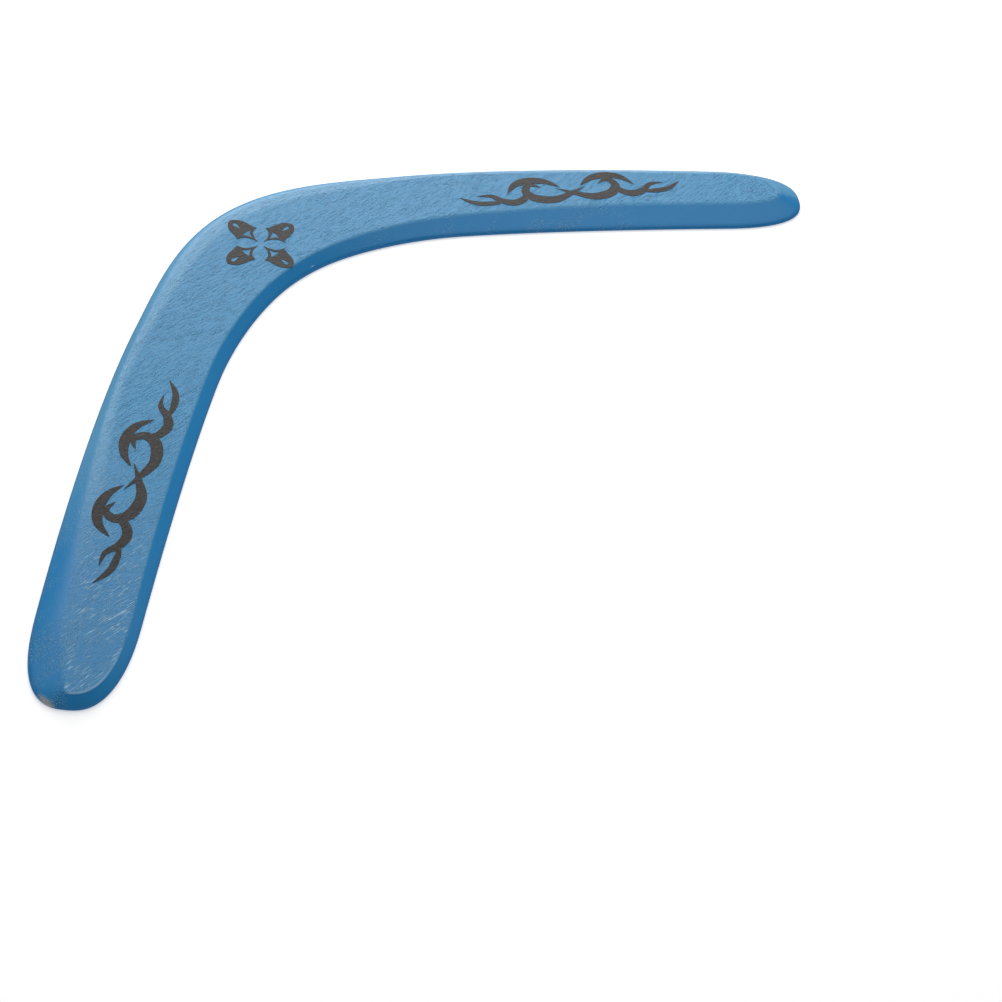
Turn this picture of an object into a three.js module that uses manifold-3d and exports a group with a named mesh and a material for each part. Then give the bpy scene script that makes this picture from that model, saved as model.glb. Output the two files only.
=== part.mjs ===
// A painted plywood boomerang: five cross-laid veneers cut to one bent outline, with a thin
// leading bevel, a broad trailing bevel, and printed ornaments on the upper face.
// Millimetres. +X runs from wing tip to wing tip, +Y towards the outside of the elbow, +Z up.
// The origin is the centre of the bounding box, on the flat underside.

import * as THREE from 'three';
import { mergeVertices } from 'three/addons/utils/BufferGeometryUtils.js';
import Module from 'manifold-3d';

const wasm = await Module();
wasm.setup();

// Blade outline: a bent centreline with a width on each side of it.
const TIP_X = 196.4; // where the centreline meets a wing tip
const APEX_Y = 56.5; // the centreline at the elbow
const ARM_SLOPE = 0.659; // fall of each wing away from the elbow, per millimetre of X
const ELBOW_SOFTNESS = 49.5; // how gently the two wings meet
const WING_BOW = 14; // extra fall of a wing at BOW_X
const BOW_X = 145.7;
const OUTER_WIDTH = { elbow: 18.2, wing: 15.1, tip: 16.5, easedBy: 0.28 };
const INNER_WIDTH = { elbow: 28.1, wing: 22.2, tip: 16.5, easedBy: 0.36 };
const TAPER_START = 0.3; // share of a wing's length where the width starts to run to the tip's
const TIP_ROUNDING = 37.3; // length of the rounded end
const TIP_SQUARENESS = 2.63; // 2 is an ellipse, more is squarer

// Section: veneers, and bevels that run from the edge wall up to the flat upper face.
const VENEERS = [
  'bottom_face_veneer',
  'lower_cross_veneer',
  'core_veneer',
  'upper_cross_veneer',
  'top_face_veneer',
];
const VENEER_THICKNESS = 1;
const BLADE_THICKNESS = VENEERS.length * VENEER_THICKNESS;
const EDGE_WALL = 1.5; // upright edge below the bevels
const LEADING_BEVEL = { width: 4.2, atLeftTip: 3, narrowsFrom: 0.6 };
const LEFT_TRAILING_BEVEL = { width: 13.5, from: 0.4, to: 0.95 }; // grows between shares of the wing
const RIGHT_TRAILING_BEVEL = { width: 10.8, from: -0.08, to: 0.74 };
const LEFT_TIP_BEVEL = 3.8;
const RIGHT_TIP_BEVEL = 10;

// Printed ornaments on the upper face.
const PRINT_THICKNESS = 0.12;
const PRINT_CENTRE = new THREE.Vector2(-4.8, 49.5); // middle of the rosette
const PRINT_TURN = THREE.MathUtils.degToRad(1.4); // the print sits slightly askew
const SCROLL_OFFSET = new THREE.Vector2(119, -59); // from the rosette to a scroll's middle
const SCROLL_SHIFT = 2.7; // of both scrolls towards +X
const SCROLL_TURN = THREE.MathUtils.degToRad(32.8);
const PETALS = 4;

const BODY_STATIONS = 50;
const CAP_STATIONS = 10;
const CURVE_STEPS = 10;
const STROKE_STEPS = 24;
const STROKE_FULLNESS = 0.8; // how quickly a stroke swells from its points

// The centreline: a hyperbola's bend with straight arms, plus a slight bow.
class Centreline extends THREE.Curve {
  getPoint(t, target = new THREE.Vector3()) {
    const x = THREE.MathUtils.lerp(-TIP_X, TIP_X, t);
    const bend = ARM_SLOPE * (Math.hypot(x, ELBOW_SOFTNESS) - ELBOW_SOFTNESS);
    const bow = WING_BOW * (x / BOW_X) ** 2;
    return target.set(x, APEX_Y - bend - bow, 0);
  }
}

const centreline = new Centreline();
centreline.arcLengthDivisions = 800;
const HALF_LENGTH = centreline.getLength() / 2;

// Signed stations from the left tip (-1) to the right tip (+1), closer together round the tips.
function stations() {
  const body = 1 - TIP_ROUNDING / HALF_LENGTH;
  const list = [];
  for (let i = CAP_STATIONS; i > 0; i--) {
    list.push(-body - (1 - body) * Math.sin((i / CAP_STATIONS) * Math.PI / 2));
  }
  for (let i = 0; i <= BODY_STATIONS; i++) {
    list.push(THREE.MathUtils.lerp(-body, body, i / BODY_STATIONS));
  }
  for (let i = 1; i <= CAP_STATIONS; i++) {
    list.push(body + (1 - body) * Math.sin((i / CAP_STATIONS) * Math.PI / 2));
  }
  return list;
}

// Width from the centreline to the outer (+1) or inner (-1) edge.
function sideWidth(along, side) {
  const { elbow, wing, tip, easedBy } = side > 0 ? OUTER_WIDTH : INNER_WIDTH;
  const q = Math.abs(along);
  const eased = THREE.MathUtils.smoothstep(q, 0, easedBy);
  const taper = Math.max(0, (q - TAPER_START) / (1 - TAPER_START)) ** 2;
  return THREE.MathUtils.lerp(elbow, wing, eased) + (tip - wing) * taper;
}

// Bevel width at a station. side is +1 on the outer edge of the bend and -1 on the inner edge.
// The leading edges are the right wing's outer edge and the left wing's inner edge.
function bevelWidth(along, side) {
  const { width, from, to } = side > 0 ? LEFT_TRAILING_BEVEL : RIGHT_TRAILING_BEVEL;
  const growth = THREE.MathUtils.smoothstep(-along * side, from, to);
  const narrowing = THREE.MathUtils.smoothstep(-along, LEADING_BEVEL.narrowsFrom, 1);
  const leading = THREE.MathUtils.lerp(LEADING_BEVEL.width, LEADING_BEVEL.atLeftTip, narrowing);
  return THREE.MathUtils.lerp(leading, width, growth);
}

// One closed ring of points, clockwise from above: the outer edge from the left tip to the right
// tip, then the inner edge back. inset is 0 at the outline and 1 at the edge of the flat top.
function ring(inset, z) {
  const edge = (along, side) => {
    const drawBack = inset * (along < 0 ? LEFT_TIP_BEVEL : RIGHT_TIP_BEVEL);
    const reach = 1 - drawBack / HALF_LENGTH;
    const rounding = (TIP_ROUNDING - drawBack) / HALF_LENGTH;
    const place = along * reach;
    const into = Math.max(0, (Math.abs(place) - (reach - rounding)) / rounding);
    const cap = Math.max(0, 1 - Math.min(1, into) ** TIP_SQUARENESS) ** (1 / TIP_SQUARENESS);
    const width = (sideWidth(place, side) - inset * bevelWidth(along, side)) * cap * side;
    const t = (place + 1) / 2;
    const point = centreline.getPointAt(t);
    const tangent = centreline.getTangentAt(t);
    return [point.x - tangent.y * width, point.y + tangent.x * width, z];
  };
  const list = stations();
  const outer = list.map((along) => edge(along, 1));
  const inner = list.slice(1, -1).reverse().map((along) => edge(along, -1));
  return [...outer, ...inner];
}

// How far in the bevel has come at a height.
function insetAt(z) {
  return Math.max(0, (z - EDGE_WALL) / (BLADE_THICKNESS - EDGE_WALL));
}

// A closed solid through rings of equal size, with a flat strip of quads across each end.
function loft(rings) {
  const count = rings[0].length;
  const tip = count / 2;
  const inner = (i) => (i === 0 || i === tip ? i : count - i);
  const index = [];
  for (let level = 0; level < rings.length - 1; level++) {
    for (let i = 0; i < count; i++) {
      const a = level * count + i;
      const b = level * count + ((i + 1) % count);
      index.push(a, a + count, b + count, a, b + count, b);
    }
  }
  const top = (rings.length - 1) * count;
  for (let i = 0; i < tip; i++) {
    const quad = [i, inner(i), inner(i + 1), i + 1];
    const triangles = [[quad[0], quad[1], quad[2]], [quad[0], quad[2], quad[3]]];
    for (const [a, b, c] of triangles) {
      if (a !== b && b !== c && a !== c) {
        index.push(top + a, top + b, top + c, a, c, b);
      }
    }
  }
  const geometry = new THREE.BufferGeometry();
  geometry.setAttribute('position', new THREE.Float32BufferAttribute(rings.flat(2), 3));
  geometry.setIndex(index);
  geometry.computeVertexNormals();
  return geometry;
}

function veneer(layer) {
  const low = layer * VENEER_THICKNESS;
  const high = low + VENEER_THICKNESS;
  const heights = EDGE_WALL > low && EDGE_WALL < high ? [low, EDGE_WALL, high] : [low, high];
  return loft(heights.map((z) => ring(insetAt(z), z)));
}

// A brush stroke along a smooth curve: pointed at both ends, and widest where lean puts its
// middle (1 is halfway along, more is nearer the end).
function strokeShape(points, width, lean) {
  const curve = new THREE.SplineCurve(points.map(([x, y]) => new THREE.Vector2(x, y)));
  const rail = (t, side) => {
    const half = (width / 2) * Math.sin(Math.PI * t ** lean) ** STROKE_FULLNESS * side;
    const tangent = curve.getTangentAt(t);
    return curve.getPointAt(t).add(new THREE.Vector2(-tangent.y, tangent.x).multiplyScalar(half));
  };
  const steps = [...Array(STROKE_STEPS - 1).keys()].map((i) => (i + 1) / STROKE_STEPS);
  const left = steps.map((t) => rail(t, 1));
  const right = steps.map((t) => rail(t, -1)).reverse();
  return new THREE.Shape([curve.getPoint(0), ...left, curve.getPoint(1), ...right]);
}

function print(shape) {
  return new THREE.ExtrudeGeometry(shape, { depth: PRINT_THICKNESS, bevelEnabled: false });
}

function solid(geometry) {
  geometry.deleteAttribute('normal');
  geometry.deleteAttribute('uv');
  const merged = mergeVertices(geometry, 1e-4);
  const mesh = new wasm.Mesh({
    numProp: 3,
    vertProperties: new Float32Array(merged.attributes.position.array),
    triVerts: new Uint32Array(merged.index.array),
  });
  return new wasm.Manifold(mesh);
}

function union(geometries) {
  const mesh = geometries.map(solid).reduce((whole, piece) => whole.add(piece)).getMesh();
  const geometry = new THREE.BufferGeometry();
  geometry.setAttribute('position', new THREE.BufferAttribute(mesh.vertProperties, 3));
  geometry.setIndex(new THREE.BufferAttribute(mesh.triVerts, 1));
  geometry.computeVertexNormals();
  return geometry;
}

// Half of a wing scroll, from its middle at 0 to its forked tail, with +Y towards the outer edge:
// a wave that ends in a curl, a crescent over the curl, a second wave, and a tail.
const SCROLL_STROKES = [
  {
    points: [[-6.5, 2.4], [0.5, -1.2], [8.5, -4.4], [16.6, -2.8], [19.8, 1.8], [17, 5.6], [12.4, 3.4]],
    width: 4.4,
    lean: 1.2,
  },
  { points: [[4.4, 2.8], [9.6, 6.8], [16.4, 8.2], [23.2, 6.4], [28, 1]], width: 3.9, lean: 1 },
  { points: [[19.6, 1.8], [21.2, -2.2], [26, -4.4], [31, -2.8], [35, 0.6], [41, 1]], width: 3.6, lean: 0.65 },
  { points: [[29.5, -3.2], [35.5, -3.8], [42, -3], [48.4, 1]], width: 2.6, lean: 0.9 },
];

function scroll() {
  const strokes = [1, -1].flatMap((half) => SCROLL_STROKES.map(({ points, width, lean }) => {
    const route = points.map(([x, y]) => [x * half, y]);
    return print(strokeShape(route, width, lean));
  }));
  return union(strokes);
}

// One rosette petal, pointing along +X from the rosette's middle: a pointed bud with shoulders on
// a forked stem, with a drop-shaped eye and an open wedge between the stems.
function petal() {
  const shape = new THREE.Shape();
  shape.moveTo(1.6, 0);
  for (const side of [-1, 1]) {
    const curves = [
      [5.2, 0.6, 7.4, 2.0, 7.8, 5.3],
      [9.8, 3.4, 15.4, 5.6, 17.6, 0],
    ];
    const route = side < 0 ? curves : reversed(curves, [1.6, 0]);
    for (const [ax, ay, bx, by, x, y] of route) {
      shape.bezierCurveTo(ax, ay * side, bx, by * side, x, y * side);
    }
  }
  const eye = new THREE.Path();
  eye.moveTo(11.4, 0);
  eye.bezierCurveTo(13, 0.5, 15.4, 1.6, 15.4, 0);
  eye.bezierCurveTo(15.4, -1.6, 13, -0.5, 11.4, 0);
  const wedge = new THREE.Path();
  wedge.moveTo(4.4, 0);
  wedge.quadraticCurveTo(6.6, 0.4, 8.2, 2.2);
  wedge.quadraticCurveTo(8.8, 0, 8.2, -2.2);
  wedge.quadraticCurveTo(6.6, -0.4, 4.4, 0);
  const outline = polygon(shape);
  outline.holes.push(polygon(eye), polygon(wedge));
  return print(outline);
}

// A path that ends where it starts, as a polygon without the repeated point.
function polygon(path) {
  return new THREE.Shape(path.getPoints(CURVE_STEPS).slice(0, -1));
}

// The same Bezier curves run from their far end back to start.
function reversed(curves, start) {
  const ends = [start, ...curves.map((curve) => curve.slice(4))];
  return curves.map(([ax, ay, bx, by], i) => [bx, by, ax, ay, ...ends[i]]).reverse();
}

const bluePaint = new THREE.MeshStandardMaterial({ color: 0x3f82b8, roughness: 0.45, metalness: 0 });
const darkInk = new THREE.MeshStandardMaterial({ color: 0x45433f, roughness: 0.6, metalness: 0 });

function named(name, geometry, material) {
  const mesh = new THREE.Mesh(geometry, material);
  mesh.name = name;
  return mesh;
}

function blade() {
  const group = new THREE.Group();
  VENEERS.forEach((name, layer) => group.add(named(name, veneer(layer), bluePaint.clone())));
  return group;
}

function ornaments() {
  const group = new THREE.Group();
  group.position.set(PRINT_CENTRE.x, PRINT_CENTRE.y, BLADE_THICKNESS);
  group.rotation.z = PRINT_TURN;
  for (const [name, side] of [['left_wing_scroll', -1], ['right_wing_scroll', 1]]) {
    const mesh = named(name, scroll(), darkInk.clone());
    mesh.position.set(SCROLL_OFFSET.x * side + SCROLL_SHIFT, SCROLL_OFFSET.y, 0);
    mesh.rotation.z = -SCROLL_TURN * side;
    group.add(mesh);
  }
  for (let i = 0; i < PETALS; i++) {
    const mesh = named(`rosette_petal_${i + 1}`, petal(), darkInk.clone());
    mesh.rotation.z = (i / PETALS) * 2 * Math.PI;
    group.add(mesh);
  }
  return group;
}

const boomerang = new THREE.Group();
boomerang.add(blade(), ornaments());

export default boomerang;
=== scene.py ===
"""A painted plywood boomerang lying on a pale floor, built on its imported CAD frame.

Metres. +X runs from wing tip to wing tip, +Y towards the outside of the elbow, +Z up.
"""
import math

import bmesh
import bpy
import numpy as np
from mathutils import Euler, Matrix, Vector


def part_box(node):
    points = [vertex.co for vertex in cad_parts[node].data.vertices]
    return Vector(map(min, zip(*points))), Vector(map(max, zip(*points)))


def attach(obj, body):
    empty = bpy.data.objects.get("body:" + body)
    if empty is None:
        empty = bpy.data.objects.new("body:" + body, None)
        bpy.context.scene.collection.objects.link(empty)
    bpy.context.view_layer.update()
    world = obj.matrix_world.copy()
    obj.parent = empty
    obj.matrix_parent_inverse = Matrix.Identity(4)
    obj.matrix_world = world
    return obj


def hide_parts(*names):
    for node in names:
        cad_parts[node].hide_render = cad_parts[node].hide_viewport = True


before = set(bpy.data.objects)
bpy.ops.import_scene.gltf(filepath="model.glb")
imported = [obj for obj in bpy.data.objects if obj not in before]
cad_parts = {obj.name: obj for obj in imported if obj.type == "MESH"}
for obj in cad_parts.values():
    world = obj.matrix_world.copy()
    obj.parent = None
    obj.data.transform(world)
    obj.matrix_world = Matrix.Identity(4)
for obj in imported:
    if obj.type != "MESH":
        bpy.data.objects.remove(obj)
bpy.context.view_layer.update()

MM = 0.001

# The blade's plan: a bent centreline with a width on each side of it, as in the CAD frame.
TIP_X = 196.4 * MM
APEX_Y = 56.5 * MM
ARM_SLOPE = 0.659
ELBOW_SOFTNESS = 49.5 * MM
WING_BOW = 14 * MM
BOW_X = 145.7 * MM
OUTER_WIDTH = {"elbow": 18.2 * MM, "wing": 15.1 * MM, "tip": 16.5 * MM, "eased_by": 0.28}
INNER_WIDTH = {"elbow": 28.1 * MM, "wing": 22.2 * MM, "tip": 16.5 * MM, "eased_by": 0.36}
TAPER_START = 0.3
TIP_ROUNDING = 37.3 * MM
TIP_SQUARENESS = 2.63

# The blade's section.
VENEERS = (
    "bottom_face_veneer",
    "lower_cross_veneer",
    "core_veneer",
    "upper_cross_veneer",
    "top_face_veneer",
)
UPPER_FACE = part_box("top_face_veneer")[1][2]
EDGE_WALL = 1.5 * MM
LEADING_BEVEL = {"width": 4.2 * MM, "at_left_tip": 3 * MM, "narrows_from": 0.6}
LEFT_TRAILING_BEVEL = {"width": 13.5 * MM, "from": 0.4, "to": 0.95}
RIGHT_TRAILING_BEVEL = {"width": 10.8 * MM, "from": -0.08, "to": 0.74}
LEFT_TIP_BEVEL = 3.8 * MM
RIGHT_TIP_BEVEL = 10 * MM
CREASE_ROUNDING = 0.5 * MM
WALL_ROUNDING = 0.6 * MM
UNDERSIDE_ROUNDING = 0.5 * MM

# The outer edge's shoulder, how far it swells (1 is flat) and between which places that changes,
# and where the rim, which carries a painted sheen, fades out on the left wing. Places are shares of
# the half length.
ELBOW_SHOULDER = {"width": 7 * MM, "narrows_from": 0.05, "narrows_to": 0.4}
SWELLING = {"left_wing": 1.9, "elbow": 2.2, "right_wing": 1.5}
ELBOW_SWELLING_ENDS = (0.1, 0.4)
WING_SWELLING_ENDS = (0.86, 0.98)
RIM_ENDS = (0.5, 0.8)

PRINTS = ("left_wing_scroll", "right_wing_scroll") + tuple(f"rosette_petal_{i}" for i in range(1, 5))

# Grid sizes.
BODY_STATIONS = 240
CAP_STATIONS = 40
WALL_RINGS = 9
ROUNDING_RINGS = 5
BEVEL_RINGS = 40
LAST_INSET = 1.3  # the innermost ring of the upper face, in bevel widths
FACE_STEPS = 16
OUTER, INNER = 0, 1
SIDES = np.array([1.0, -1.0])

# How near two points are one, how near a height is a face's, how upright a level face's normal is,
# and how steep a crease is sharp.
WELD = 0.002 * MM
LEVEL = 0.01 * MM
UPRIGHT = 0.99
SHARP_CREASE = math.radians(35)

# Colours: each pair is blended by a noise.
FACE_BLUES = ((0.028, 0.252, 0.505, 1), (0.036, 0.298, 0.566, 1))
BEVEL_BLUE = (0.020, 0.24, 0.55, 1)
# Painted shade: a dark blue mixed into the lower edges, the wrinkles' valleys and the flat face near the
# left tip. The same blue is the paint that shows through gaps in the ink.
PAINTED_SHADE_AND_INK_GAP_BLUE = (0.010, 0.165, 0.43, 1)
# Painted highlight: a pale blue that stands in for sheen and glints.
PAINTED_HIGHLIGHT_BLUE = (0.33, 0.61, 0.85, 1)
INKS = ((0.008, 0.007, 0.006, 1), (0.034, 0.028, 0.022, 1))
BIRCHES = ((0.52, 0.36, 0.2, 1), (0.68, 0.51, 0.32, 1))

# The paint's marks, with their size along X, Y and Z.
WRINKLE = (1.5 * MM, 0.46 * MM, 0.46 * MM)
FIBRE = (4.0 * MM, 0.27 * MM, 0.27 * MM)
GRIT = (0.5 * MM, 0.35 * MM, 0.35 * MM)
GRIT_PATCH = (18 * MM, 9 * MM, 9 * MM)
CLOUD = (60 * MM, 25 * MM, 25 * MM)
RAGGED_RIM = (1.2 * MM, 0.4 * MM, 0.4 * MM)

# The ink's and the birch's marks.
INK_MOTTLE = (2.2 * MM, 0.7 * MM, 0.7 * MM)
INK_GAP = (1.5 * MM, 0.5 * MM, 0.5 * MM)
GRAIN_LENGTH = 40 * MM
GRAIN_WIDTH = 1.2 * MM

# Depth of each finish's relief, and how much each mark adds to the paint's.
PAINT_DEPTH = 0.31 * MM
INK_DEPTH = 0.25 * MM
BIRCH_DEPTH = 0.1 * MM
WRINKLE_RELIEF = {"flat": 0.4, "rim": 0.2, "everywhere": 0.12}
FIBRE_RELIEF = 0.4
GRIT_RELIEF = 0.4

# Shares of the painted highlight's pale blue and of the painted shade's dark blue that each mark
# mixes in.
PAINTED_HIGHLIGHT_SHARES = {"fibres": 0.06, "fibres_at_tip": 0.9, "grit": 0.7, "rim": 0.22, "lip": 0.12, "lip_at_tip": 0.75}
PAINTED_SHADE_SHARES = {"lower_edge": 0.6, "valleys": 0.25, "valleys_at_tip": 0.25, "flat_at_tip": 0.32}

# Where the painted shade and painted highlights change along X: the left wing's outer half, the
# left tip, and the half span by which the right wing's places are measured.
LEFT_WING_CHANGE = {"starts": -105 * MM, "length": 55 * MM}
LEFT_TIP_CHANGE = {"starts": -168 * MM, "length": 14 * MM}
HALF_SPAN = 200 * MM

# Painted glints, on the left tip's corner and two on the elbow's inner wall, and a dark speck in the
# paint: centre, radii and colour.
PAINTED_GLINTS_AND_SPECK = (
    ((-199.6 * MM, -65.0 * MM, 1.5 * MM), (1.7 * MM, 5.5 * MM, 2.2 * MM), (0.42, 0.45, 0.46, 1)),
    ((0.4 * MM, 30.4 * MM, 2.1 * MM), (1.7 * MM, 0.32 * MM, 0.4 * MM), (0.85, 0.9, 0.93, 1)),
    ((4.6 * MM, 29.5 * MM, 2.1 * MM), (1.7 * MM, 0.32 * MM, 0.4 * MM), (0.85, 0.9, 0.93, 1)),
    ((139.7 * MM, -30.5 * MM, UPPER_FACE), (0.9 * MM, 0.6 * MM, 0.6 * MM), (0.03, 0.06, 0.09, 1)),
)

# The studio: its lights with power in watts, the glow of its floor, the brightness of the room
# and that of the band at its horizon.
LIGHTS = {
    "back softbox": {
        "place": (0.687, 0.795, 0.525), "target": (0, 0.03, -0.03), "size": (1.2, 1.15), "power": 11.5},
    "overhead fill": {
        "place": (0.5, 0.45, 1.2), "target": (0.5, 0.45, 0), "size": (2.0, 2.0), "power": 13.4},
}
FLOOR_REACH = 40.0
FLOOR_GLOW = 0.46
ROOM = 0.12
HORIZON = 0.5

# The camera's angles are degrees below the level, round from +Y, and about its line of sight. Its
# lens and sensor are in millimetres.
CAMERA_PLACE = (-0.4034, -0.3555, 0.5164)
CAMERA_PITCH = 48.58
CAMERA_TURN = -56.0
CAMERA_ROLL = 11.84
CAMERA_LENS = 68.96
CAMERA_SENSOR = 36


# ---------------------------------------------------------------- shape of the blade

def smooth_step(x, low, high):
    """0 below low, 1 above high, and 3t^2 - 2t^3 between."""
    t = np.clip((x - low) / (high - low), 0, 1)
    return t * t * (3 - 2 * t)


def soft_min(a, b, width):
    """The smaller of a and b, with their corner rounded off by a parabola of the given width."""
    blend = np.maximum(width - np.abs(a - b), 0) / width
    return np.minimum(a, b) - blend ** 2 * width / 4


def soft_max(a, b, width):
    """The larger of a and b, with their corner rounded off."""
    return -soft_min(-a, -b, width)


def centreline_table():
    """x, y and length along the centreline, whose y falls as a hyperbola plus a parabola of x."""
    x = np.linspace(-TIP_X, TIP_X, 8001)
    bend = ARM_SLOPE * (np.hypot(x, ELBOW_SOFTNESS) - ELBOW_SOFTNESS)
    y = APEX_Y - bend - WING_BOW * (x / BOW_X) ** 2
    length = np.concatenate([[0.0], np.cumsum(np.hypot(np.diff(x), np.diff(y)))])
    return x, y, length


LINE_X, LINE_Y, LINE_LENGTH = centreline_table()
HALF_LENGTH = LINE_LENGTH[-1] / 2
BODY_SHARE = 1 - TIP_ROUNDING / HALF_LENGTH


def centreline(along):
    """Point and unit tangent at a signed share of the half length, -1 and 1 being the tips."""
    at = (along + 1) * HALF_LENGTH
    x = np.interp(at, LINE_LENGTH, LINE_X)
    y = np.interp(at, LINE_LENGTH, LINE_Y)
    tangent_x = np.interp(at, LINE_LENGTH, np.gradient(LINE_X, LINE_LENGTH))
    tangent_y = np.interp(at, LINE_LENGTH, np.gradient(LINE_Y, LINE_LENGTH))
    size = np.hypot(tangent_x, tangent_y)
    return x, y, tangent_x / size, tangent_y / size


def stations():
    """Signed shares of the half length, even along the body and as a sine round each tip."""
    cap = BODY_SHARE + (1 - BODY_SHARE) * np.sin(np.linspace(0, math.pi / 2, CAP_STATIONS + 1))[1:]
    body = np.linspace(-BODY_SHARE, BODY_SHARE, BODY_STATIONS + 1)
    return np.concatenate([-cap[::-1], body, cap])


ALONG = stations()[:, None]


def mix(first, second, share):
    """first at share 0, second at share 1, and in proportion between."""
    return first + (second - first) * share


def side_width(place, sizes):
    """Width on one side: the elbow's, eased to the wing's, then a square-law run to the tip's."""
    q = np.abs(place)
    taper = np.maximum(0, (q - TAPER_START) / (1 - TAPER_START)) ** 2
    eased = smooth_step(q, 0, sizes["eased_by"])
    return mix(sizes["elbow"], sizes["wing"], eased) + (sizes["tip"] - sizes["wing"]) * taper


def widths(place):
    """Outer and inner width at each station."""
    outer = side_width(place[:, :1], OUTER_WIDTH)
    inner = side_width(place[:, 1:], INNER_WIDTH)
    return np.concatenate([outer, inner], axis=1)


def bevel_width():
    """Bevel width at each station and side. A leading edge's is narrow, and narrower at the left
    tip. It grows to a trailing edge's: the left wing's outer edge, the right wing's inner one. The
    outer edge is a broad soft shoulder round the elbow."""
    narrowing = smooth_step(-ALONG, LEADING_BEVEL["narrows_from"], 1)
    leading = mix(LEADING_BEVEL["width"], LEADING_BEVEL["at_left_tip"], narrowing)
    from_elbow = smooth_step(
        np.abs(ALONG), ELBOW_SHOULDER["narrows_from"], ELBOW_SHOULDER["narrows_to"])
    outer = mix(leading, ELBOW_SHOULDER["width"], 1 - from_elbow)
    left_growth, right_growth = (trailing_share()[:, [side]] for side in (OUTER, INNER))
    outer = mix(outer, LEFT_TRAILING_BEVEL["width"], left_growth)
    inner = mix(leading, RIGHT_TRAILING_BEVEL["width"], right_growth)
    return np.concatenate([outer, inner], axis=1)


def trailing_share():
    """How far each station and side has grown into a trailing edge, 0 to 1."""
    left = smooth_step(-ALONG, LEFT_TRAILING_BEVEL["from"], LEFT_TRAILING_BEVEL["to"])
    right = smooth_step(ALONG, RIGHT_TRAILING_BEVEL["from"], RIGHT_TRAILING_BEVEL["to"])
    return np.concatenate([left, right], axis=1)


def bevel_softness():
    """1 is a flat bevel with a clear crease, more swells it into the upper face without one. The
    outer edge swells most at the elbow, more on the left wing than on the right, and not at all at
    the tips."""
    swelling = np.where(ALONG < 0, SWELLING["left_wing"], SWELLING["right_wing"])
    swelling = mix(SWELLING["elbow"], swelling, smooth_step(np.abs(ALONG), *ELBOW_SWELLING_ENDS))
    outer = mix(swelling, 1.0, smooth_step(np.abs(ALONG), *WING_SWELLING_ENDS))
    return np.where(SIDES > 0, outer, 1.0)


BEVEL = bevel_width()
SOFTNESS = bevel_softness()


def plan(inset, extra=0.0):
    """Points of the outline moved inwards, as x and y at each station and side: inset times the
    bevel width, plus extra. The tip draws back by inset times the tip bevel, plus extra."""
    draw_back = inset * np.where(ALONG < 0, LEFT_TIP_BEVEL, RIGHT_TIP_BEVEL)
    reach = 1 - (draw_back + extra) / HALF_LENGTH
    rounding = (TIP_ROUNDING - draw_back) / HALF_LENGTH
    place = ALONG * reach
    into = np.clip((np.abs(place) - (reach - rounding)) / rounding, 0, 1)
    cap = (1 - into ** TIP_SQUARENESS) ** (1 / TIP_SQUARENESS)
    width = (widths(place) - inset * BEVEL - extra) * cap * SIDES
    x, y, tangent_x, tangent_y = centreline(place)
    return x - tangent_y * width, y + tangent_x * width


def row(inset, height, extra=0.0):
    """One ring round the blade: its plan at an inset, at a height."""
    inset = inset * np.ones_like(BEVEL)
    x, y = plan(inset, extra)
    return np.stack([x, y, height * np.ones_like(x)], axis=-1)


def inset_at(height):
    """Share of the bevel passed at a height: the bevel rises as a power of what is left of it."""
    drop = UPPER_FACE - EDGE_WALL
    left = np.clip((UPPER_FACE - height) / drop, 0, None) ** (1 / SOFTNESS)
    return soft_max(1 - left, 0.0, WALL_ROUNDING / drop)


def height_at(inset):
    """Height of the bevel at a share of its width, rounded where it meets the flat upper face."""
    drop = UPPER_FACE - EDGE_WALL
    left = 1 - inset
    bevel = UPPER_FACE - drop * np.sign(left) * np.abs(left) ** SOFTNESS
    return soft_min(bevel, UPPER_FACE, CREASE_ROUNDING)


def underside_inset(height):
    """Inset of the rounded lower edge: a quarter circle."""
    into = np.clip(UNDERSIDE_ROUNDING - height, 0, None)
    return UNDERSIDE_ROUNDING - np.sqrt(UNDERSIDE_ROUNDING ** 2 - into ** 2)


# ---------------------------------------------------------------- meshes

def grid_faces(rows, columns, start, flip):
    """Quads of a rows by columns grid of vertices that begins at start."""
    first = start + np.arange(rows - 1)[:, None] * columns + np.arange(columns - 1)
    quads = np.stack([first, first + columns, first + columns + 1, first + 1], axis=-1).reshape(-1, 4)
    return quads[:, ::-1] if flip else quads


def across(ring, steps):
    """A flat grid from the outer side of a ring to its inner side, by straight lines."""
    share = np.linspace(0, 1, steps + 1)[:, None, None]
    return ring[:, OUTER] * (1 - share) + ring[:, INNER] * share


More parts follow.
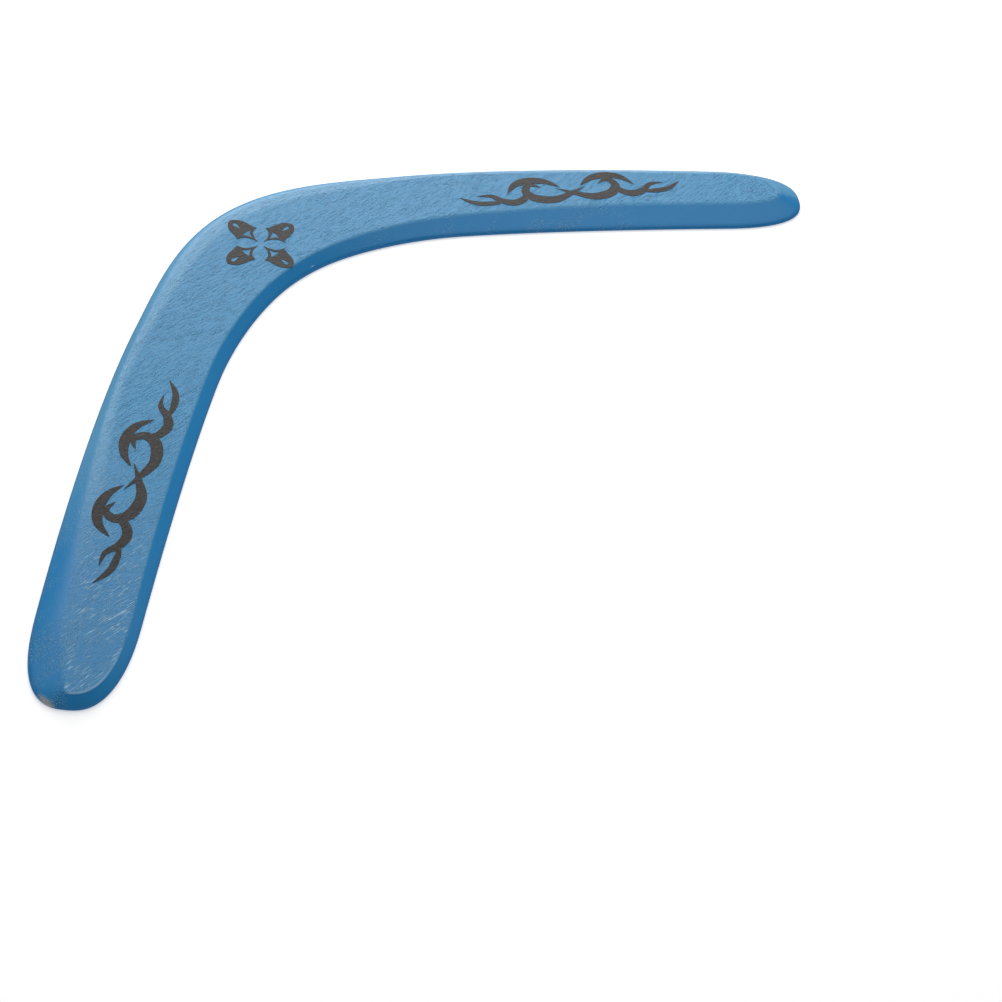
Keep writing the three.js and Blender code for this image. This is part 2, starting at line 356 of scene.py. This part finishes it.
def veneer_mesh(name, rings, steps_below, steps_above):
    """A closed solid: rings stacked from low to high on both sides, with a grid across each end.
    Its attribute "trailing" says how far a point of the sides is on a trailing edge's bevel, and
    "rim" how far it is on the outer edge's other stretch."""
    stack = np.array(rings)
    sloping = (stack[..., 2] < UPPER_FACE - LEVEL) & (stack[..., 2] > LEVEL)
    trailing = trailing_share() * sloping
    rim = (1 - smooth_step(-ALONG, *RIM_ENDS)) * (SIDES > 0) * sloping
    shares_of_sides = np.stack([trailing, rim], axis=-1)
    grids = [
        (stack[:, :, OUTER], shares_of_sides[:, :, OUTER], False),
        (stack[:, :, INNER], shares_of_sides[:, :, INNER], True),
    ]
    for level, steps, flip in ((0, steps_below, False), (-1, steps_above, True)):
        face = across(stack[level], steps)
        face_shares = np.zeros(face.shape[:2] + (2,))
        face_shares[[0, -1]] = np.moveaxis(shares_of_sides[level], 1, 0)
        grids.append((face, face_shares, flip))
    points, shares, faces, start = [], [], [], 0
    for grid, share, flip in grids:
        rows, columns = grid.shape[:2]
        points.append(grid.reshape(-1, 3))
        shares.append(share.reshape(-1, 2))
        faces.append(grid_faces(rows, columns, start, flip))
        start += rows * columns
    mesh = bpy.data.meshes.new(name)
    mesh.from_pydata(np.concatenate(points).tolist(), [], np.concatenate(faces).tolist())
    for share_name, values in zip(("trailing", "rim"), np.concatenate(shares).T):
        attribute = mesh.attributes.new(share_name, "FLOAT", "POINT")
        attribute.data.foreach_set("value", np.ascontiguousarray(values))
    weld(mesh)
    mesh.shade_smooth()
    mesh.set_sharp_from_angle(angle=SHARP_CREASE)
    return mesh


def weld(mesh):
    """Joins the grids' shared points, and drops what has no area at the tips."""
    joined = bmesh.new()
    joined.from_mesh(mesh)
    bmesh.ops.remove_doubles(joined, verts=joined.verts, dist=WELD)
    bmesh.ops.recalc_face_normals(joined, faces=joined.faces)
    joined.to_mesh(mesh)
    joined.free()


def link(name, mesh):
    piece = bpy.data.objects.new(name, mesh)
    bpy.context.scene.collection.objects.link(piece)
    return piece


def veneer_rings(node):
    """The rings of one veneer between its lowest and highest level."""
    low, high = (corner[2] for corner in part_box(node))
    if node == VENEERS[-1]:
        insets = [mix(inset_at(low), LAST_INSET, share) for share in np.linspace(0, 1, BEVEL_RINGS)]
        return [row(inset, height_at(inset)) for inset in insets]
    levels = np.linspace(low, high, WALL_RINGS)
    if node == VENEERS[0]:
        rounded = np.linspace(0, UNDERSIDE_ROUNDING, ROUNDING_RINGS)
        above = np.linspace(UNDERSIDE_ROUNDING, high, WALL_RINGS - ROUNDING_RINGS + 1)[1:]
        levels = np.concatenate([rounded, above])
    return [row(inset_at(z), z, underside_inset(z)) for z in levels]


# ---------------------------------------------------------------- shader arithmetic

class Socket:
    """A node's output in a Python expression: each operator adds one Math node."""

    def __init__(self, finish, output):
        self.finish = finish
        self.output = output

    def math(self, operation, *values):
        return self.finish.add("ShaderNodeMath", {"operation": operation}, values)

    def __add__(self, other):
        return self.math("ADD", self, other)

    def __mul__(self, other):
        return self.math("MULTIPLY", self, other)

    def __sub__(self, other):
        return self.math("SUBTRACT", self, other)

    def __rsub__(self, other):
        return self.math("SUBTRACT", other, self)


class Finish:
    """A material being built: a Principled shader, and nodes added one by one."""

    def __init__(self, name):
        self.material = bpy.data.materials.new(name)
        self.material.use_nodes = True
        self.tree = self.material.node_tree
        self.shader = self.tree.nodes["Principled BSDF"]

    def add(self, kind, settings, inputs, output=0):
        """A node of a kind: its settings first, then its sockets' values or links."""
        node = self.tree.nodes.new(kind)
        for key, value in settings.items():
            if key == "stops":
                self.set_stops(node.color_ramp, value)
            else:
                setattr(node, key, value)
        pairs = inputs.items() if isinstance(inputs, dict) else enumerate(inputs)
        for key, value in pairs:
            self.feed(node.inputs[key], value)
        return Socket(self, node.outputs[output])

    def set_stops(self, ramp, stops):
        while len(ramp.elements) < len(stops):
            ramp.elements.new(0.5)
        for element, (position, level) in zip(ramp.elements, stops):
            element.position = position
            element.color = (level, level, level, 1)

    def feed(self, socket, value):
        if isinstance(value, Socket):
            self.tree.links.new(value.output, socket)
        else:
            socket.default_value = value

    def surface(self, **values):
        """Feeds the shader's own sockets, named with _ for a space."""
        for key, value in values.items():
            self.feed(self.shader.inputs[key.replace("_", " ")], value)
        return self.material

    def place(self, size=(1, 1, 1)):
        """Object coordinates divided by a size along each axis."""
        coordinates = self.add("ShaderNodeTexCoord", {}, {}, "Object")
        stretch = tuple(1 / length for length in size)
        return self.add("ShaderNodeVectorMath", {"operation": "MULTIPLY"}, {0: coordinates, 1: stretch})

    def axis(self, name):
        """One Object coordinate."""
        return self.add("ShaderNodeSeparateXYZ", {}, {0: self.place()}, name)

    def attribute(self, name):
        """One of the piece's own values."""
        return self.add("ShaderNodeAttribute", {"attribute_name": name}, {}, "Fac")

    def height(self):
        """Height as a share of the upper face's."""
        return self.axis("Z") * (1 / UPPER_FACE)

    def noise(self, size, detail=2.0, roughness=0.5, distortion=0.0):
        """Noise from 0 to 1 whose lumps have a size along each axis."""
        inputs = {"Vector": self.place(size), "Scale": 1.0, "Detail": detail}
        inputs.update({"Roughness": roughness, "Distortion": distortion})
        return self.add("ShaderNodeTexNoise", {}, inputs)

    def ramp(self, value, *stops):
        return self.add("ShaderNodeValToRGB", {"stops": stops}, {"Fac": value})

    def blend(self, first, second, share):
        """One colour turning into another as share goes from 0 to 1."""
        inputs = {0: share, 6: first, 7: second}
        return self.add("ShaderNodeMix", {"data_type": "RGBA"}, inputs, 2)

    def bump(self, height, depth, strength=1.0):
        inputs = {"Height": height, "Distance": depth, "Strength": strength}
        return self.add("ShaderNodeBump", {}, inputs, "Normal")


# ---------------------------------------------------------------- finishes

def on_flat_faces(finish):
    """1 on the flat upper and lower face, falling to 0 a little way round their edges."""
    return finish.ramp(finish.height(), (0.0, 1.0), (0.05, 0.0), (0.91, 0.0), (0.99, 1.0))


def change_to_the_left(finish, change):
    """0 right of where a change starts on X, rising to 1 over its length to the left."""
    share = (finish.axis("X") - change["starts"]) * (-1 / change["length"])
    return finish.ramp(share, (0.0, 0.0), (1.0, 1.0))


def wrinkles(finish):
    """Leathery wrinkles, longer along X."""
    return finish.noise(WRINKLE, 2.0, 0.6, 0.15)


def raised_fibres(finish):
    """Thin dashes along X, a few millimetres long."""
    fibres = finish.noise(FIBRE, 1.0, 0.5, 0.1)
    return finish.ramp(fibres, (0.59, 0.0), (0.66, 1.0))


def stipple(finish):
    """Fine grit for the trailing edges' long slopes, in patches, bumped and painted with bright specks
    that stand in for glints. It thins out towards the right tip."""
    grit = finish.noise(GRIT, 2.0, 0.6)
    patches = finish.ramp(finish.noise(GRIT_PATCH, 1.0), (0.4, 0.1), (0.6, 1.0))
    left_of_tip = finish.ramp(finish.axis("X") * (1 / HALF_SPAN), (0.55, 1.0), (0.7, 0.1))
    return finish.ramp(grit, (0.56, 0.0), (0.64, 1.0)) * patches * left_of_tip


def lip(finish):
    """1 on the narrow rounding just below the upper face."""
    return finish.ramp(finish.height(), (0.90, 0.0), (0.94, 1.0), (0.985, 1.0), (0.999, 0.0))


def spot(finish, centre, radii):
    """1 at a place on the blade, falling to 0 at its radii with a ragged rim, in streaks along X."""
    offset = finish.add("ShaderNodeVectorMath", {"operation": "SUBTRACT"}, {0: finish.place(), 1: centre})
    scale = tuple(1 / radius for radius in radii)
    scaled = finish.add("ShaderNodeVectorMath", {"operation": "MULTIPLY"}, {0: offset, 1: scale})
    distance = finish.add("ShaderNodeVectorMath", {"operation": "LENGTH"}, {0: scaled}, "Value")
    ragged = finish.noise(RAGGED_RIM, 3.0, 0.7) * 1.6 - 0.8
    return finish.ramp(distance + ragged, (0.3, 1.0), (1.0, 0.0))


def blue_paint():
    """Satin blue over the grain, a more saturated blue on the bevels, and painted shade at the lower
    edge, in the wrinkles' valleys and over the flat face towards the left tip. Painted highlights in a
    pale blue stand in for the sheen on the rim, the glints of the raised fibres and the grit, and the
    highlight along the leading crease; painted glints sit on the left tip's corner and on the elbow's
    inner wall, and there is a dark speck."""
    finish = Finish("blue paint over grain")
    flat = on_flat_faces(finish)
    trailing = finish.attribute("trailing")
    rim = finish.attribute("rim")
    fibres = raised_fibres(finish) * flat
    grit = stipple(finish) * trailing
    to_tip = change_to_the_left(finish, LEFT_WING_CHANGE)
    at_tip = change_to_the_left(finish, LEFT_TIP_CHANGE)
    cloud = finish.noise(CLOUD, 2.0)

    colour = finish.blend(*FACE_BLUES, cloud)
    colour = finish.blend(colour, BEVEL_BLUE, (1 - flat) * (1 - rim))
    # Painted shade: the lower edge is darkened with the dark blue.
    lower_edge = finish.ramp(finish.height(), (0.2, 1.0), (0.5, 0.0)) * (1 - flat)
    colour = finish.blend(colour, PAINTED_SHADE_AND_INK_GAP_BLUE, lower_edge * (1 - rim) * PAINTED_SHADE_SHARES["lower_edge"])
    # Painted shade: the wrinkles' valleys are darkened, and the whole flat face more so towards the left
    # tip.
    valleys = finish.ramp(wrinkles(finish), (0.3, 1.0), (0.48, 0.0)) * flat
    painted_shade = valleys * (to_tip * PAINTED_SHADE_SHARES["valleys_at_tip"] + PAINTED_SHADE_SHARES["valleys"])
    painted_shade = painted_shade + to_tip * flat * PAINTED_SHADE_SHARES["flat_at_tip"]
    colour = finish.blend(colour, PAINTED_SHADE_AND_INK_GAP_BLUE, painted_shade)
    # Painted highlights in the pale blue: glints on the raised fibres, strongest near the left tip, the
    # grit's bright specks, sheen on the outer rim, and a highlight along the leading crease, strongest at
    # the left tip.
    painted_highlight = fibres * (to_tip * PAINTED_HIGHLIGHT_SHARES["fibres_at_tip"] + PAINTED_HIGHLIGHT_SHARES["fibres"])
    painted_highlight = painted_highlight + grit * PAINTED_HIGHLIGHT_SHARES["grit"] + rim * PAINTED_HIGHLIGHT_SHARES["rim"]
    leading_lip = lip(finish) * (1 - trailing)
    painted_highlight = painted_highlight + leading_lip * (at_tip * PAINTED_HIGHLIGHT_SHARES["lip_at_tip"] + PAINTED_HIGHLIGHT_SHARES["lip"])
    colour = finish.blend(colour, PAINTED_HIGHLIGHT_BLUE, painted_highlight)
    # Painted glints on the left tip's corner and on the elbow's inner wall, and a dark speck in the
    # paint.
    for centre, radii, shade in PAINTED_GLINTS_AND_SPECK:
        colour = finish.blend(colour, shade, spot(finish, centre, radii))

    wrinkled = flat * WRINKLE_RELIEF["flat"] + rim * WRINKLE_RELIEF["rim"]
    wrinkled = wrinkled + WRINKLE_RELIEF["everywhere"]
    relief = wrinkles(finish) * wrinkled + fibres * FIBRE_RELIEF + grit * GRIT_RELIEF
    normal = finish.bump(relief, PAINT_DEPTH)
    roughness = cloud * 0.08 + 0.26
    return finish.surface(Base_Color=colour, Roughness=roughness, Normal=normal, IOR=1.4)


def dark_print():
    """Ink printed over the grain, thin enough to miss the deepest pores."""
    finish = Finish("dark transfer print")
    mottle = finish.ramp(finish.noise(INK_MOTTLE, 3.0, 0.6), (0.35, 0.0), (0.65, 1.0))
    missed = finish.ramp(finish.noise(INK_GAP, 2.0), (0.69, 0.0), (0.76, 0.7))
    ink = finish.blend(finish.blend(*INKS, mottle), PAINTED_SHADE_AND_INK_GAP_BLUE, missed)
    normal = finish.bump(wrinkles(finish), INK_DEPTH)
    return finish.surface(Base_Color=ink, Roughness=0.32, Normal=normal, IOR=1.3)


def bare_veneer(along_x):
    """Unpainted birch between the layers, with its grain along X or along Y."""
    finish = Finish("bare birch along X" if along_x else "bare birch along Y")
    sizes = (GRAIN_LENGTH, GRAIN_WIDTH) if along_x else (GRAIN_WIDTH, GRAIN_LENGTH)
    grain = finish.noise(sizes + (GRAIN_WIDTH,), 4.0, 0.6)
    colour = finish.blend(*BIRCHES, grain)
    normal = finish.bump(grain, BIRCH_DEPTH, 0.5)
    return finish.surface(Base_Color=colour, Roughness=0.7, Normal=normal)


# ---------------------------------------------------------------- the object

def make_blade():
    paint = blue_paint()
    birch = (bare_veneer(True), bare_veneer(False))
    for layer, node in enumerate(VENEERS):
        hidden_below = node != VENEERS[0]
        hidden_above = node != VENEERS[-1]
        steps = [1 if hidden else FACE_STEPS for hidden in (hidden_below, hidden_above)]
        mesh = veneer_mesh(f"painted_{node}", veneer_rings(node), *steps)
        mesh.materials.append(paint)
        mesh.materials.append(birch[layer % 2])
        bare_joints(mesh, hidden_below, hidden_above)
        piece = link(f"painted_{node}", mesh)
        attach(piece, "root")
        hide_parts(node)


def bare_joints(mesh, hidden_below, hidden_above):
    """Gives the faces that lie in a glue joint the bare wood, with a sharp edge round them."""
    normals = np.empty(len(mesh.polygons) * 3)
    mesh.polygons.foreach_get("normal", normals)
    up = normals.reshape(-1, 3)[:, 2]
    bare = (up < -UPRIGHT) * hidden_below + (up > UPRIGHT) * hidden_above
    mesh.polygons.foreach_set("material_index", bare.astype(np.int32))
    corners = np.empty(len(mesh.polygons), dtype=np.int32)
    mesh.polygons.foreach_get("loop_total", corners)
    edges = np.empty(len(mesh.loops), dtype=np.int32)
    mesh.loops.foreach_get("edge_index", edges)
    bare_faces = np.bincount(edges, np.repeat(bare, corners), len(mesh.edges))
    sharp = np.empty(len(mesh.edges), dtype=bool)
    mesh.edges.foreach_get("use_edge_sharp", sharp)
    mesh.edges.foreach_set("use_edge_sharp", sharp | (bare_faces == 1))


def ink_prints():
    ink = dark_print()
    for node in PRINTS:
        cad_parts[node].data.materials.clear()
        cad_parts[node].data.materials.append(ink)


# ---------------------------------------------------------------- the studio

def make_camera():
    camera = bpy.data.cameras.new("camera")
    camera.lens = CAMERA_LENS
    camera.sensor_width = CAMERA_SENSOR
    holder = bpy.data.objects.new("camera", camera)
    bpy.context.scene.collection.objects.link(holder)
    holder.location = CAMERA_PLACE
    tilt = math.radians(90 - CAMERA_PITCH)
    turn = Euler((tilt, 0, math.radians(CAMERA_TURN))).to_matrix()
    roll = Euler((0, 0, math.radians(CAMERA_ROLL))).to_matrix()
    holder.rotation_euler = (turn @ roll).to_euler()
    bpy.context.scene.camera = holder


def area_light(name, place, target, size, power):
    light = bpy.data.lights.new(name, "AREA")
    light.shape = "RECTANGLE"
    light.size, light.size_y = size
    light.energy = power
    holder = bpy.data.objects.new(name, light)
    bpy.context.scene.collection.objects.link(holder)
    holder.location = place
    aim = Vector(target) - Vector(place)
    holder.rotation_euler = aim.to_track_quat("-Z", "Y").to_euler()


def make_studio():
    for name, light in LIGHTS.items():
        area_light(name, **light)
    bpy.context.scene.world = make_world()


def make_world():
    """A dim room with a paler band round the horizon, where the floor ends."""
    world = bpy.data.worlds.new("studio")
    world.use_nodes = True
    nodes, links = world.node_tree.nodes, world.node_tree.links
    direction = nodes.new("ShaderNodeTexCoord")
    parts = nodes.new("ShaderNodeSeparateXYZ")
    ramp = nodes.new("ShaderNodeValToRGB")
    for element, (position, level) in zip(ramp.color_ramp.elements, ((0.05, HORIZON), (0.13, ROOM))):
        element.position = position
        element.color = (level, level, level, 1)
    steepness = nodes.new("ShaderNodeMath")
    steepness.operation = "ABSOLUTE"
    links.new(direction.outputs["Generated"], parts.inputs[0])
    links.new(parts.outputs["Z"], steepness.inputs[0])
    links.new(steepness.outputs[0], ramp.inputs["Fac"])
    links.new(ramp.outputs["Color"], nodes["Background"].inputs["Color"])
    return world


def make_floor():
    """A large pale square that glows a little, and that the blade doesn't mirror."""
    mesh = bpy.data.meshes.new("floor")
    corners = [(x * FLOOR_REACH, y * FLOOR_REACH, 0) for x, y in ((-1, -1), (1, -1), (1, 1), (-1, 1))]
    mesh.from_pydata(corners, [], [(0, 1, 2, 3)])
    finish = Finish("pale floor")
    mesh.materials.append(finish.surface(
        Base_Color=(0.85, 0.85, 0.85, 1), Roughness=0.9, Specular_IOR_Level=0.1,
        Emission_Color=(1, 1, 1, 1), Emission_Strength=FLOOR_GLOW))
    floor = link("floor", mesh)
    floor.visible_glossy = False


bpy.context.scene.view_settings.view_transform = "Standard"
make_camera()
make_blade()
ink_prints()
make_floor()
make_studio()
